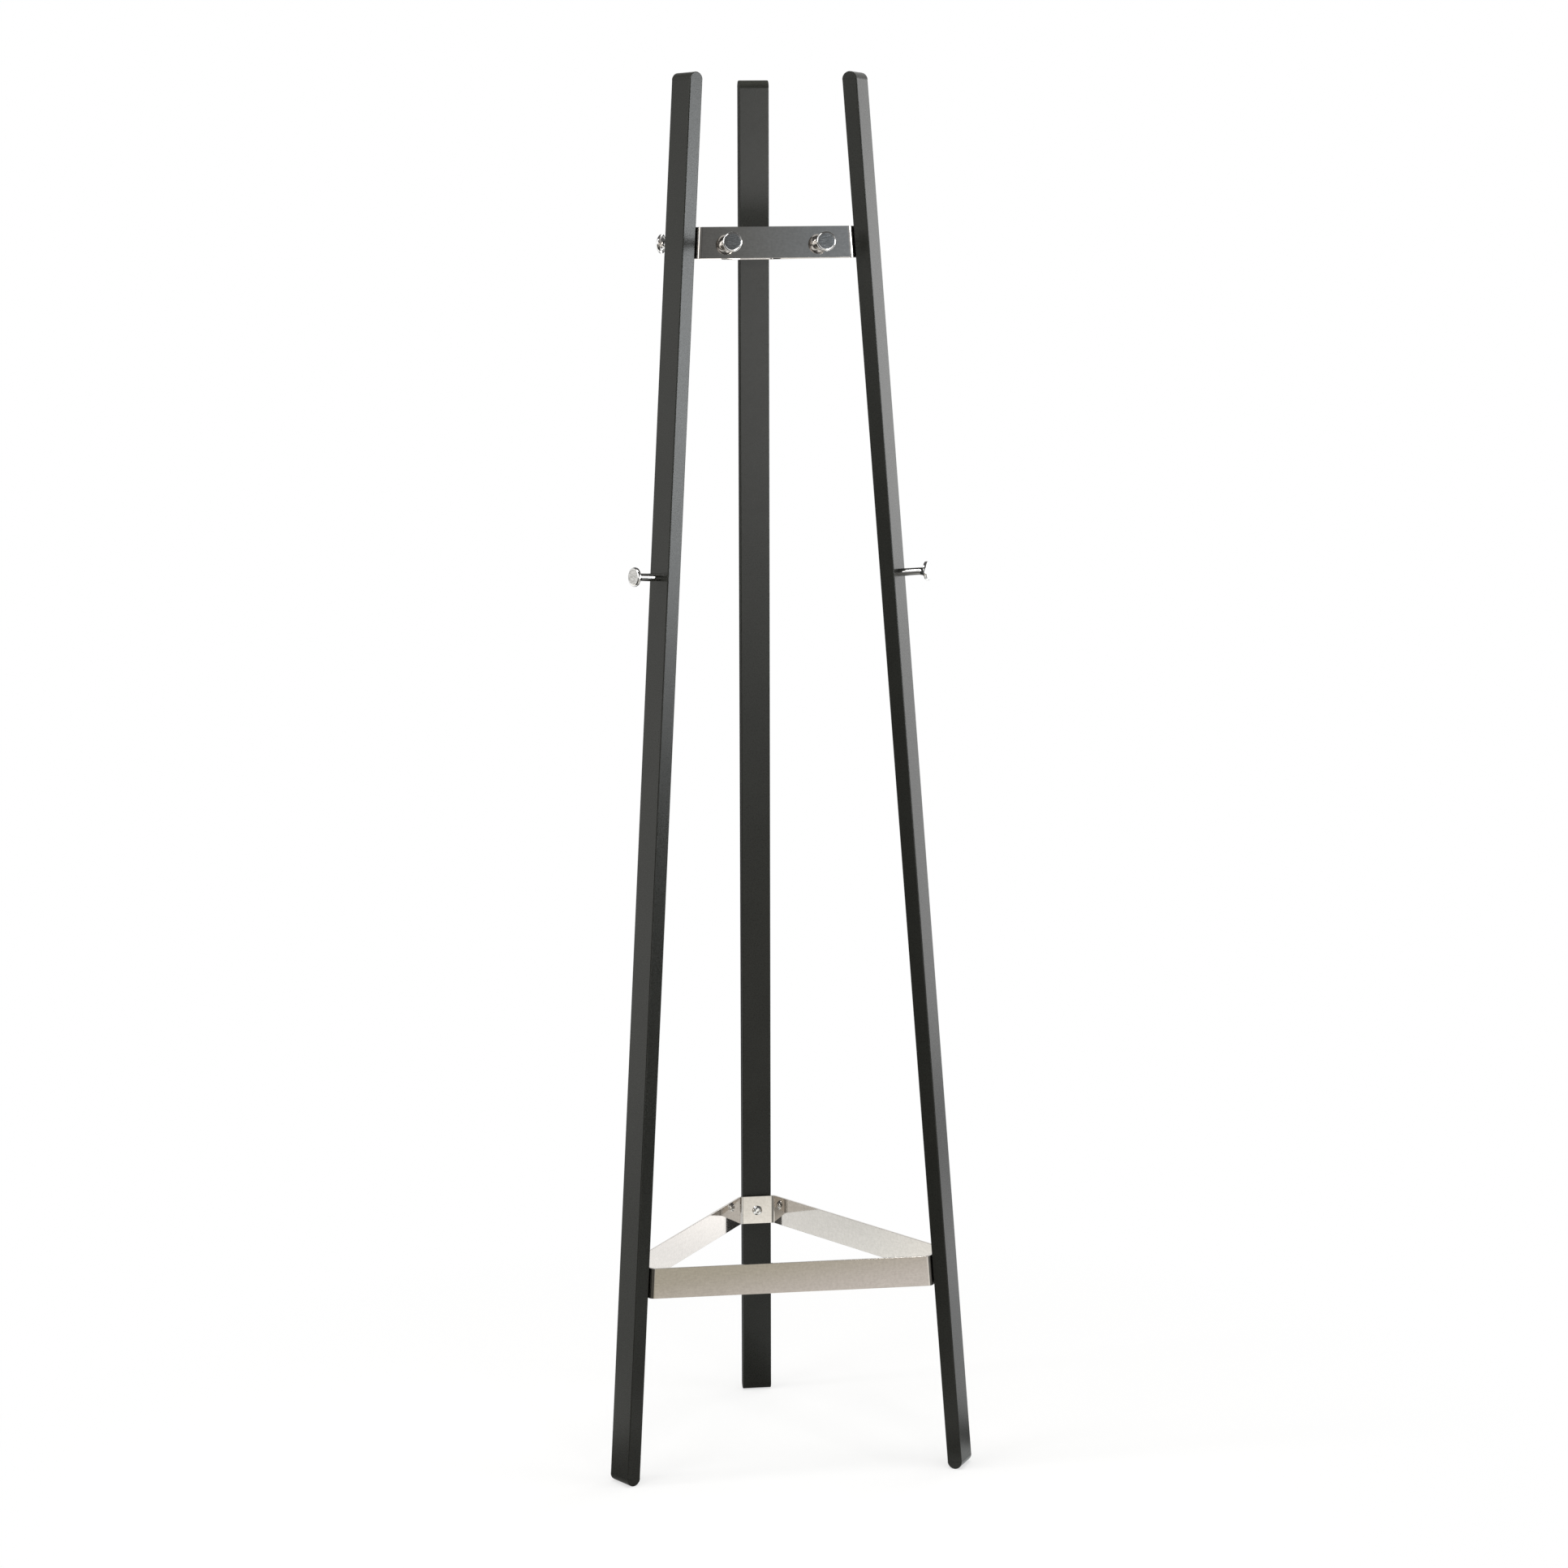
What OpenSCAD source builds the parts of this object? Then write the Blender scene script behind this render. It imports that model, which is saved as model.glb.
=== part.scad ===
// Standing coat rack: three leaning legs held by two bent strip rings.
// Millimetres. Z is up, the floor is z = 0 and the stand's axis is the Z axis.
// The back leg stands at +Y, the left leg at -X and the right leg at +X.

/* [Stand] */
// floor to the top of the legs
stand_height = 1830; // [1750:5:1900]
// stand's axis to the middle of a foot
foot_radius = 258; // [240:1:280]
// stand's axis to the middle of a leg's top
top_radius = 124.7; // [120:0.1:140]

/* [Leg tube] */
// wide side, which faces away from the axis
leg_width = 40; // [36:1:44]
// thin side
leg_depth = 20; // [18:1:24]
// tube wall
leg_wall = 1.5; // [1.2:0.1:2]
// outside corner radius
leg_corner = 1.5; // [1:0.1:3]

/* [End plugs] */
// length of the shank inside the tube
plug_shank = 25; // [15:1:40]
// gap between the shank and the tube, each side
plug_clearance = 0.1; // [0.05:0.05:0.4]
// width of the seam where the plug meets the tube
plug_seam = 0.4; // [0.1:0.1:1]
// how far the seam is set in from the leg's faces
plug_seam_depth = 0.6; // [0.2:0.1:1.2]

/* [Rings] */
// height of the strip
strip_height = 40; // [36:1:44]
// thickness of the strip
strip_thickness = 3; // [2.5:0.5:4]
// inside radius of each bend
bend_radius = 5; // [4:0.5:8]
// width of the flat plate that lies on a leg, between its bends
plate_width = 40; // [38:0.5:46]
// distance from the top of the stand down to the middle of the upper ring
upper_ring_drop = 215; // [100:5:400]
// middle of the lower ring
lower_ring_z = 269; // [240:1:320]

/* [Knobs] */
// length of a hook or peg in front of its seat
knob_length = 40; // [36:1:50]
// diameter of the shaft
knob_shaft = 10; // [9:0.5:12]
// diameter of the flared head
knob_head = 25; // [22:0.5:28]
// length of the flare
knob_flare = 8; // [6:0.5:10]
// thickness of the head's rim
knob_rim = 1; // [0.6:0.1:2]
// rounding on the front of the head
knob_round = 2.5; // [1.5:0.1:3]
// hook to the middle of its long side
hook_offset = 60; // [50:1:70]
// drop of a hook below the middle of the strip
hook_drop = 1; // [0:0.5:3]
// distance from the top of the stand down to the foot of the leg pegs
peg_drop = 641; // [500:5:900]

/* [Screws] */
// ring screw thread radius
ring_screw_r = 4; // [3:0.5:4]
// ring screw head radius
ring_head_r = 7; // [6:0.25:8]
// ring screw head height
ring_head_h = 4; // [3:0.1:5]
// ring screw length under the head
ring_screw_length = 16; // [14:1:18]
// hook screw thread radius
hook_screw_r = 3; // [2.5:0.5:3]
// hook screw head radius
hook_head_r = 5.25; // [4.5:0.25:6]
// hook screw head height
hook_head_h = 3.2; // [2.5:0.1:4]
// hook screw length under the head
hook_screw_length = 12; // [10:1:16]
// stud that joins a peg to its leg
peg_stud_length = 12; // [10:1:14]
// clearance round every screw, in radius
screw_clearance = 0.3; // [0.1:0.1:0.6]
// clearance round a thread in its nut, in radius
thread_clearance = 0.05; // [0.02:0.01:0.1]

/* [Rivet nuts] */
// ring rivet nut body radius
ring_nut_r = 5.5; // [5.5:0.1:6]
// ring rivet nut flange radius
ring_flange_r = 7.5; // [7:0.5:9]
// ring rivet nut flange thickness, which is the gap between plate and leg
ring_flange_h = 1.2; // [1:0.1:2]
// length of a ring rivet nut below its flange
ring_nut_length = 14; // [12:1:16]
// peg rivet nut body radius
peg_nut_r = 4.5; // [4.2:0.1:4.8]
// peg rivet nut flange radius
peg_flange_r = 5; // [4.8:0.1:5]
// peg rivet nut flange thickness
peg_flange_h = 0.5; // [0.3:0.1:1]
// length of a peg rivet nut below its flange
peg_nut_length = 12.5; // [11:0.5:14]
// clearance round a rivet nut in the wall, in radius
nut_clearance = 0.05; // [0.02:0.01:0.1]

/* [Hidden] */
$fn = 96;
azimuth = [210, 330, 90];
side_azimuth = [270, 30, 150];
leg_rise = stand_height - leg_depth;
upper_ring_z = stand_height - upper_ring_drop;
peg_z = stand_height - peg_drop;
span = 2 * foot_radius;
lean = atan((foot_radius - top_radius) / leg_rise);
side_lean = atan(tan(lean) / 2);
tube_length = leg_rise / cos(lean);
bend_angle = atan(sqrt(3) * cos(lean));
bend_outer = bend_radius + strip_thickness;
bend_back = bend_outer * tan(bend_angle / 2);
plate_flat = plate_width / 2;
corner_reach = plate_flat + bend_back;
bend_run_out = 0.005;
seat = leg_depth / 2 + ring_flange_h;
inner_width = leg_width - 2 * leg_wall;
inner_depth = leg_depth - 2 * leg_wall;
peg_seat = leg_depth / 2 + peg_flange_h;
head_r = knob_head / 2;
shaft_r = knob_shaft / 2;
steel = [0.86, 0.86, 0.87];
zinc = [0.72, 0.72, 0.7];
coat = [0.2, 0.2, 0.19];

function leg_radius(z) = foot_radius - (z - leg_depth / 2) * tan(lean);
function ring_radius(z) = leg_radius(z) - seat / cos(lean);
function side_radius(z) = ring_radius(z) / 2 + corner_reach * sin(60);

// a leg's own frame at a height: x out of the wide face, y across it, z along the tube
module on_leg(i, z)
    rotate([0, 0, azimuth[i]]) translate([leg_radius(z), 0, z]) rotate([0, -lean, 0]) children();

// a ring side's own frame: x out of the strip, y along it
module on_side(j, z)
    rotate([0, 0, side_azimuth[j]]) translate([side_radius(z), 0, z]) rotate([0, -side_lean, 0]) children();

module round_bar(depth, width, corner) {
    square([depth, width - 2 * corner], center = true);
    square([depth - 2 * corner, width], center = true);
    for (x = [-1, 1], y = [-1, 1])
        translate([x * (depth / 2 - corner), y * (width / 2 - corner)]) circle(r = corner);
}

module leg(i) {
    color(coat) difference() {
        on_leg(i, leg_depth / 2) linear_extrude(tube_length) difference() {
            round_bar(leg_depth, leg_width, leg_corner);
            square([inner_depth, inner_width], center = true);
        }
        for (z = [lower_ring_z, upper_ring_z])
            on_leg(i, z) rotate([0, -90, 0]) cylinder(r = ring_nut_r + nut_clearance, h = leg_depth / 2 + 1);
        on_leg(i, peg_z) rotate([0, 90, 0]) cylinder(r = peg_nut_r + nut_clearance, h = leg_depth / 2 + 1);
    }
}

// half-round plug with its shank, round end towards +Z, standing on its seam
module plug() {
    intersection() {
        rotate([90, 0, 0]) cylinder(r = leg_depth / 2, h = leg_width, center = true);
        translate([0, 0, plug_seam]) linear_extrude(leg_depth)
            round_bar(leg_depth, leg_width, leg_corner);
    }
    linear_extrude(plug_seam)
        square([leg_depth - 2 * plug_seam_depth, leg_width - 2 * plug_seam_depth], center = true);
    translate([0, 0, -plug_shank]) linear_extrude(plug_shank)
        square([inner_depth - 2 * plug_clearance, inner_width - 2 * plug_clearance], center = true);
}

module cap(i)
    color(coat) on_leg(i, leg_depth / 2) translate([0, 0, tube_length]) plug();

module foot(i)
    color(coat) on_leg(i, leg_depth / 2) rotate([180, 0, 0]) plug();

// six-sided frustum that the ring's strip stands on, inset by a depth
module ring_block(z, inset) {
    intersection_for (k = [0 : 2]) intersection() {
        on_leg(k, z) translate([-span - seat - inset, -span, -span / 2]) cube([span, 2 * span, span]);
        on_side(k, z) translate([-span - inset, -span, -span / 2]) cube([span, 2 * span, span]);
    }
}

// what a bend of a radius takes off the corners between plates and long sides
module bend_cuts(z, r) {
    reach = 1.4 * r;
    for (i = [0 : 2], s = [0, 1]) on_leg(i, z) mirror([0, s, 0])
        translate([-seat - bend_outer, plate_flat, -strip_height]) linear_extrude(2 * strip_height)
            difference() {
                polygon([[0, 0], [reach, 0], [reach, reach * tan(bend_angle / 2)],
                    [reach * cos(bend_angle), reach * sin(bend_angle)]]);
                circle(r = r + bend_run_out);
            }
}

// a closed band of flat strip: three plates on the legs, three long sides, six bends
module ring(z) {
    intersection() {
        translate([-span, -span, z - strip_height / 2]) cube([2 * span, 2 * span, strip_height]);
        difference() {
            ring_block(z, 0);
            bend_cuts(z, bend_outer);
            difference() {
                ring_block(z, strip_thickness);
                bend_cuts(z, bend_radius);
            }
        }
    }
}

module ring_holes(z) {
    for (i = [0 : 2]) on_leg(i, z) rotate([0, -90, 0])
        cylinder(r = ring_screw_r + screw_clearance, h = 3 * seat);
}

module upper_ring() {
    color(steel) difference() {
        ring(upper_ring_z);
        ring_holes(upper_ring_z);
        for (j = [0 : 2], s = [-1, 1]) on_side(j, upper_ring_z)
            translate([-2 * strip_thickness, s * hook_offset, -hook_drop]) rotate([0, 90, 0])
                cylinder(r = hook_screw_r + screw_clearance, h = 4 * strip_thickness);
    }
}

module lower_ring() {
    color(steel) difference() {
        ring(lower_ring_z);
        ring_holes(lower_ring_z);
    }
}

// turned knob along +X with its seat at x = 0; a flared head with a rounded front
module knob_shape() {
    face = knob_length;
    flare_end = face - knob_rim - knob_round;
    flare_r = (pow(head_r - shaft_r, 2) + pow(knob_flare, 2)) / (2 * (head_r - shaft_r));
    rotate([0, 90, 0]) rotate_extrude() {
        square([shaft_r, flare_end - knob_flare]);
        translate([0, flare_end - knob_flare]) difference() {
            square([head_r, knob_flare]);
            translate([shaft_r + flare_r, 0]) circle(r = flare_r);
        }
        translate([0, flare_end]) square([head_r, knob_rim]);
        translate([0, flare_end + knob_rim]) square([head_r - knob_round, knob_round]);
        intersection() {
            translate([head_r - knob_round, flare_end + knob_rim]) circle(r = knob_round);
            translate([head_r - knob_round, flare_end + knob_rim]) square([knob_round, knob_round]);
        }
    }
}

module hook(j, s) {
    color(steel) on_side(j, upper_ring_z) translate([0, s * hook_offset, -hook_drop]) difference() {
        knob_shape();
        translate([-1, 0, 0]) rotate([0, 90, 0])
            cylinder(r = hook_screw_r + thread_clearance, h = hook_screw_length - strip_thickness + 2);
    }
}

module peg(i) {
    color(steel) on_leg(i, peg_z) translate([peg_seat, 0, 0]) {
        knob_shape();
        translate([-peg_stud_length, 0, 0]) rotate([0, 90, 0])
            cylinder(r = hook_screw_r, h = peg_stud_length);
    }
}

// domed socket screw along +X, head on the -X side, seat of the head at x = 0
module button_screw(thread_r, length, dome_r, dome_h, socket) {
    ball = (dome_r * dome_r + dome_h * dome_h) / (2 * dome_h);
    difference() {
        union() {
            intersection() {
                translate([ball - dome_h, 0, 0]) sphere(r = ball);
                translate([-dome_h, 0, 0]) rotate([0, 90, 0]) cylinder(r = dome_r, h = dome_h);
            }
            rotate([0, 90, 0]) cylinder(r = thread_r, h = length);
        }
        translate([-2 * dome_h, 0, 0]) rotate([0, 90, 0])
            cylinder(r = socket / sqrt(3), h = 2 * dome_h - 1, $fn = 6);
    }
}

module ring_screws(z) {
    color(zinc) for (i = [0 : 2]) on_leg(i, z) translate([-seat - strip_thickness, 0, 0])
        button_screw(ring_screw_r, ring_screw_length, ring_head_r, ring_head_h, 5);
}

module upper_ring_screws() { ring_screws(upper_ring_z); }

module lower_ring_screws() { ring_screws(lower_ring_z); }

module hook_screws() {
    color(zinc) for (j = [0 : 2], s = [-1, 1]) on_side(j, upper_ring_z)
        translate([-strip_thickness, s * hook_offset, -hook_drop])
            button_screw(hook_screw_r, hook_screw_length, hook_head_r, hook_head_h, 4);
}

// rivet nut along +X: flange from x = -flange_h to 0, body behind it
module rivet_nut(body_r, body_length, flange_r, flange_h, thread_r) {
    difference() {
        union() {
            translate([-flange_h, 0, 0]) rotate([0, 90, 0]) cylinder(r = flange_r, h = flange_h);
            rotate([0, 90, 0]) cylinder(r = body_r, h = body_length);
        }
        translate([-flange_h - 1, 0, 0]) rotate([0, 90, 0])
            cylinder(r = thread_r + thread_clearance, h = flange_h + body_length + 2);
    }
}

module ring_rivet_nuts() {
    color(zinc) for (i = [0 : 2], z = [lower_ring_z, upper_ring_z]) on_leg(i, z)
        translate([-leg_depth / 2, 0, 0])
            rivet_nut(ring_nut_r, ring_nut_length, ring_flange_r, ring_flange_h, ring_screw_r);
}

module peg_rivet_nuts() {
    color(zinc) for (i = [0 : 2]) on_leg(i, peg_z)
        translate([leg_depth / 2, 0, 0]) rotate([0, 0, 180])
            rivet_nut(peg_nut_r, peg_nut_length, peg_flange_r, peg_flange_h, hook_screw_r);
}

module leg_left() { leg(0); }
module leg_right() { leg(1); }
module leg_back() { leg(2); }
module cap_left() { cap(0); }
module cap_right() { cap(1); }
module cap_back() { cap(2); }
module foot_left() { foot(0); }
module foot_right() { foot(1); }
module foot_back() { foot(2); }
module hook_front_left() { hook(0, -1); }
module hook_front_right() { hook(0, 1); }
module hook_right_front() { hook(1, -1); }
module hook_right_back() { hook(1, 1); }
module hook_left_back() { hook(2, -1); }
module hook_left_front() { hook(2, 1); }
module peg_left() { peg(0); }
module peg_right() { peg(1); }
module peg_back() { peg(2); }

leg_left();
leg_right();
leg_back();
cap_left();
cap_right();
cap_back();
foot_left();
foot_right();
foot_back();
upper_ring();
lower_ring();
hook_front_left();
hook_front_right();
hook_right_front();
hook_right_back();
hook_left_back();
hook_left_front();
peg_left();
peg_right();
peg_back();
upper_ring_screws();
lower_ring_screws();
hook_screws();
ring_rivet_nuts();
peg_rivet_nuts();
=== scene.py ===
# Standing coat rack: three coated legs, two polished strip rings, turned knobs.
# Metres, Z up, back leg at +Y. The heights are read from the frame, and the other
# sizes are those of the part's solids.
import math

import bmesh
import bpy
from mathutils import Matrix, Vector


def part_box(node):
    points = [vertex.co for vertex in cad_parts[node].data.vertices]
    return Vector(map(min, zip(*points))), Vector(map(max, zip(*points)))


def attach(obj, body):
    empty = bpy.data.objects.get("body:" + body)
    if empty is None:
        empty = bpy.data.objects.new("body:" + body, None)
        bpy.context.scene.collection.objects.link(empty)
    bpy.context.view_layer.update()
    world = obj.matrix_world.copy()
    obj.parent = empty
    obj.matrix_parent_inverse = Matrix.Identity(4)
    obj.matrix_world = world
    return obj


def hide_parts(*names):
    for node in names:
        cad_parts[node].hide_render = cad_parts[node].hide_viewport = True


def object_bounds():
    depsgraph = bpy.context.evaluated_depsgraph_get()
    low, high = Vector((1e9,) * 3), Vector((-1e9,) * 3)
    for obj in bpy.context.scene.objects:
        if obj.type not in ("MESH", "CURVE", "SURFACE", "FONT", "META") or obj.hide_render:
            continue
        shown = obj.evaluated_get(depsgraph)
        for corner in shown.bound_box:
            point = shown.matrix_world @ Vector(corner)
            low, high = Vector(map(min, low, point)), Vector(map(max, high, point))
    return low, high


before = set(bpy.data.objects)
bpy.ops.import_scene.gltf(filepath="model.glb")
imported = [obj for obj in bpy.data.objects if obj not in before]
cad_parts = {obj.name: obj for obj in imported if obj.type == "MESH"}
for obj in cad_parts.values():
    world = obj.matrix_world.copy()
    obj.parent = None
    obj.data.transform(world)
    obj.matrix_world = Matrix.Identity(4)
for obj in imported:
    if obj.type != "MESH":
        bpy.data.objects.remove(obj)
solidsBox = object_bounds()
scene = bpy.context.scene
mm = 0.001
tiny = 0.001 * mm      # points this near are one point

camera = {
    "place": (-0.6209, -4.7550, 1.5591),
    "turn": 7.613,      # degrees to the right of +Y
    "dip": 7.768,       # degrees below level
    "roll": -0.631,     # degrees
    "lens": 83.77,      # millimetres
    "sensor": 36,       # millimetres across
    "sight": 200,       # metres
}


def makeCamera():
    turn, dip, roll = (math.radians(camera[k]) for k in ("turn", "dip", "roll"))
    ahead = Vector((math.sin(turn) * math.cos(dip), math.cos(turn) * math.cos(dip), -math.sin(dip)))
    level = Vector((math.cos(turn), -math.sin(turn), 0))
    above = level.cross(ahead)
    right = math.cos(roll) * level + math.sin(roll) * above
    up = math.cos(roll) * above - math.sin(roll) * level
    data = bpy.data.cameras.new("camera")
    data.lens = camera["lens"]
    data.sensor_width = camera["sensor"]
    data.sensor_fit = "HORIZONTAL"
    data.clip_end = camera["sight"]
    obj = bpy.data.objects.new("camera", data)
    axes = Matrix((right, up, -ahead)).transposed().to_4x4()
    obj.matrix_world = Matrix.Translation(camera["place"]) @ axes
    scene.collection.objects.link(obj)
    scene.camera = obj


makeCamera()
print("camera set")


def toTenth(length):
    # lengths read from the solids' meshes, to a tenth of a millimetre
    return round(float(length), 4)


def middleHeight(node):
    low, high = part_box(node)
    return toTenth((low[2] + high[2]) / 2)


stand = {
    "height": toTenth(solidsBox[1][2]),
    "footRadius": 258 * mm,      # from the axis to the middle of a leg's rounded end
    "topRadius": 124.7 * mm,
    "legWidth": 40 * mm,
    "legDepth": 20 * mm,
    "legAzimuths": {"left": 210, "right": 330, "back": 90},
    "sideAzimuths": {"front": 270, "right": 30, "left": 150},
    "upperRing": middleHeight("upper_ring"),
    "lowerRing": middleHeight("lower_ring"),
    "pegs": 1189 * mm,
    "plateGap": 1.2 * mm,        # flange of a rivet nut, between leg and plate
}

strip = {
    "height": 40 * mm,
    "thickness": 3 * mm,
    "plateFlat": 40 * mm,      # flat of each short plate, between its bends
    "bendInside": 5 * mm,
    "bendSteps": 16,
    "edge": 0.3 * mm,
    "edgeSteps": 3,
    "edgeAngle": 40,           # degrees; only sharper edges are rounded
}

sixthTurn = math.radians(60)
slope = (stand["footRadius"] - stand["topRadius"]) / (stand["height"] - stand["legDepth"])
lean = math.atan(slope)
sideLean = math.atan(slope / 2)
seat = stand["legDepth"] / 2 + stand["plateGap"]
bendAngle = math.atan(math.sqrt(3) * math.cos(lean))
bendBack = (strip["bendInside"] + strip["thickness"]) * math.tan(bendAngle / 2)
cornerReach = strip["plateFlat"] / 2 + bendBack      # from a plate's middle to its unbent corner


def legRadius(z):
    return stand["footRadius"] - (z - stand["legDepth"] / 2) * slope


def plateRadius(z):
    return legRadius(z) - seat / math.cos(lean)


def sideRadius(z):
    return plateRadius(z) / 2 + cornerReach * math.sin(sixthTurn)


def place(azimuth, radius, z, tilt):
    return (Matrix.Rotation(math.radians(azimuth), 4, "Z") @ Matrix.Translation((radius, 0, z))
            @ Matrix.Rotation(-tilt, 4, "Y"))


def onLeg(azimuth, z):
    return place(azimuth, legRadius(z), z, lean)


def onSide(azimuth, z):
    return place(azimuth, sideRadius(z), z, sideLean)


def startMaterial(name):
    mat = bpy.data.materials.new(name)
    mat.use_nodes = True
    nodes, links = mat.node_tree.nodes, mat.node_tree.links
    shader = nodes["Principled BSDF"]
    coords = nodes.new("ShaderNodeTexCoord")
    return mat, nodes, links, shader, coords


def addNoise(nodes, links, vector, scale, detail=3.0, rough=0.55):
    noise = nodes.new("ShaderNodeTexNoise")
    noise.inputs["Scale"].default_value = scale
    noise.inputs["Detail"].default_value = detail
    noise.inputs["Roughness"].default_value = rough
    links.new(vector, noise.inputs["Vector"])
    return noise


def addRange(nodes, links, value, low, high, fromLow=0.3, fromHigh=0.7):
    # most of a noise's values lie from 0.3 to 0.7
    ranged = nodes.new("ShaderNodeMapRange")
    ranged.inputs["From Min"].default_value = fromLow
    ranged.inputs["From Max"].default_value = fromHigh
    ranged.inputs["To Min"].default_value = low
    ranged.inputs["To Max"].default_value = high
    links.new(value, ranged.inputs["Value"])
    return ranged.outputs["Result"]


def addMix(nodes, links, factor, first, second):
    # first and second are tints, or the colours that other nodes give
    mix = nodes.new("ShaderNodeMix")
    mix.data_type = "RGBA"
    links.new(factor, mix.inputs["Factor"])
    for colour, side in ((first, "A"), (second, "B")):
        if isinstance(colour, tuple):
            mix.inputs[side].default_value = (*colour, 1)
        else:
            links.new(colour, mix.inputs[side])
    return mix.outputs["Result"]


def addAverage(nodes, links, first, second):
    half = nodes.new("ShaderNodeMath")
    half.operation = "MULTIPLY"
    half.inputs[1].default_value = 0.5
    links.new(second, half.inputs[0])
    average = nodes.new("ShaderNodeMath")
    average.operation = "MULTIPLY_ADD"
    average.inputs[1].default_value = 0.5
    links.new(first, average.inputs[0])
    links.new(half.outputs[0], average.inputs[2])
    return average.outputs[0]


def addBump(nodes, links, height, strength, distance, under=None):
    bump = nodes.new("ShaderNodeBump")
    bump.inputs["Strength"].default_value = strength
    bump.inputs["Distance"].default_value = distance
    links.new(height, bump.inputs["Height"])
    if under is not None:
        links.new(under, bump.inputs["Normal"])
    return bump.outputs["Normal"]


# a noise is given as waves per metre, detail and roughness, and a bump as strength and metres
coat = {
    "dark": (0.0126, 0.0128, 0.0106),
    "light": (0.0178, 0.0182, 0.0152),
    "roughness": (0.25, 0.33),
    "gloss": 1.30,       # index of refraction
    "grain": (900, 2.0),
    "cloud": (14, 4.0),
    "bump": (0.35, 0.00006),
    "plugShift": (3.1, 0.93, 2.17),      # moves the pattern, so that a plug's differs from its tube's
}


def makeCoat(name, shift=(0, 0, 0)):
    mat, nodes, links, shader, coords = startMaterial(name)
    spot = nodes.new("ShaderNodeMapping")
    spot.inputs["Location"].default_value = shift
    links.new(coords.outputs["Object"], spot.inputs["Vector"])
    grain = addNoise(nodes, links, spot.outputs["Vector"], *coat["grain"]).outputs["Fac"]
    cloud = addNoise(nodes, links, spot.outputs["Vector"], *coat["cloud"]).outputs["Fac"]
    share = addRange(nodes, links, addAverage(nodes, links, grain, cloud), 0, 1)
    tint = addMix(nodes, links, share, coat["dark"], coat["light"])
    links.new(tint, shader.inputs["Base Color"])
    links.new(addRange(nodes, links, grain, *coat["roughness"]), shader.inputs["Roughness"])
    links.new(addBump(nodes, links, grain, *coat["bump"]), shader.inputs["Normal"])
    shader.inputs["IOR"].default_value = coat["gloss"]
    return mat


polish = {
    "dull": (0.54, 0.508, 0.475),
    "bright": (0.63, 0.592, 0.555),
    "tintFrom": 0.38,
    "tintTo": 0.62,
    "roughness": (0.045, 0.085),
    "stretch": 26,       # how much finer the polishing lines are upwards than along the strip
    "lines": (60, 4.0, 0.7),
    "linesBump": (0.05, 0.00002),
    "mottle": (260, 3.0),
    "wave": (9, 3.0),
    "waveBump": (0.10, 0.0004),
}


def makePolish(name):
    mat, nodes, links, shader, coords = startMaterial(name)
    stretch = nodes.new("ShaderNodeMapping")
    stretch.inputs["Scale"].default_value = (1, 1, polish["stretch"])
    links.new(coords.outputs["Object"], stretch.inputs["Vector"])
    lines = addNoise(nodes, links, stretch.outputs["Vector"], *polish["lines"]).outputs["Fac"]
    wave = addNoise(nodes, links, coords.outputs["Object"], *polish["wave"]).outputs["Fac"]
    mottle = addNoise(nodes, links, coords.outputs["Object"], *polish["mottle"]).outputs["Fac"]
    share = addRange(nodes, links, addAverage(nodes, links, lines, mottle), 0, 1,
                     polish["tintFrom"], polish["tintTo"])
    tint = addMix(nodes, links, share, polish["dull"], polish["bright"])
    links.new(tint, shader.inputs["Base Color"])
    links.new(addRange(nodes, links, lines, *polish["roughness"]), shader.inputs["Roughness"])
    fine = addBump(nodes, links, lines, *polish["linesBump"])
    links.new(addBump(nodes, links, wave, *polish["waveBump"], fine), shader.inputs["Normal"])
    shader.inputs["Metallic"].default_value = 1
    return mat


chrome = {
    "turned": (0.74, 0.73, 0.715),
    # the brushed front's streak tints: real streaks, darkened as a painted shade of what the front
    # mirrors
    "darkStreakAndShade": (0.18, 0.18, 0.175),
    "lightStreakAndShade": (0.66, 0.65, 0.635),
    "sideRoughness": 0.06,
    "faceRoughness": 0.10,
    "streaks": (160, 3.0, 0.6),
    "streakTurn": 38,      # degrees
    "streakStretch": 9,
    "bump": (0.3, 0.0001),
}


def makeChrome(name):
    # the flat front is brushed, told by an attribute that each knob's mesh carries; its streak tints
    # are set well below the turned sides', painted shade over the real brushing
    mat, nodes, links, shader, coords = startMaterial(name)
    turned = nodes.new("ShaderNodeAttribute")
    turned.attribute_name = "brushed"
    streaks = nodes.new("ShaderNodeMapping")
    streaks.inputs["Rotation"].default_value = (0, math.radians(chrome["streakTurn"]), 0)
    streaks.inputs["Scale"].default_value = (1, 1, chrome["streakStretch"])
    links.new(coords.outputs["Object"], streaks.inputs["Vector"])
    lines = addNoise(nodes, links, streaks.outputs["Vector"], *chrome["streaks"]).outputs["Fac"]
    rough = addRange(nodes, links, turned.outputs["Fac"], chrome["sideRoughness"],
                     chrome["faceRoughness"], 0, 1)
    links.new(rough, shader.inputs["Roughness"])
    # the brushed streaks are real, and both of their tints are darkened below the turned sides' as
    # painted shade
    streaksAndShade = addMix(nodes, links, addRange(nodes, links, lines, 0, 1), chrome["darkStreakAndShade"],
                     chrome["lightStreakAndShade"])
    tint = addMix(nodes, links, turned.outputs["Fac"], chrome["turned"], streaksAndShade)
    links.new(tint, shader.inputs["Base Color"])
    height = nodes.new("ShaderNodeMath")
    height.operation = "MULTIPLY"
    links.new(lines, height.inputs[0])
    links.new(turned.outputs["Fac"], height.inputs[1])
    links.new(addBump(nodes, links, height.outputs[0], *chrome["bump"]), shader.inputs["Normal"])
    shader.inputs["Metallic"].default_value = 1
    return mat


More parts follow.
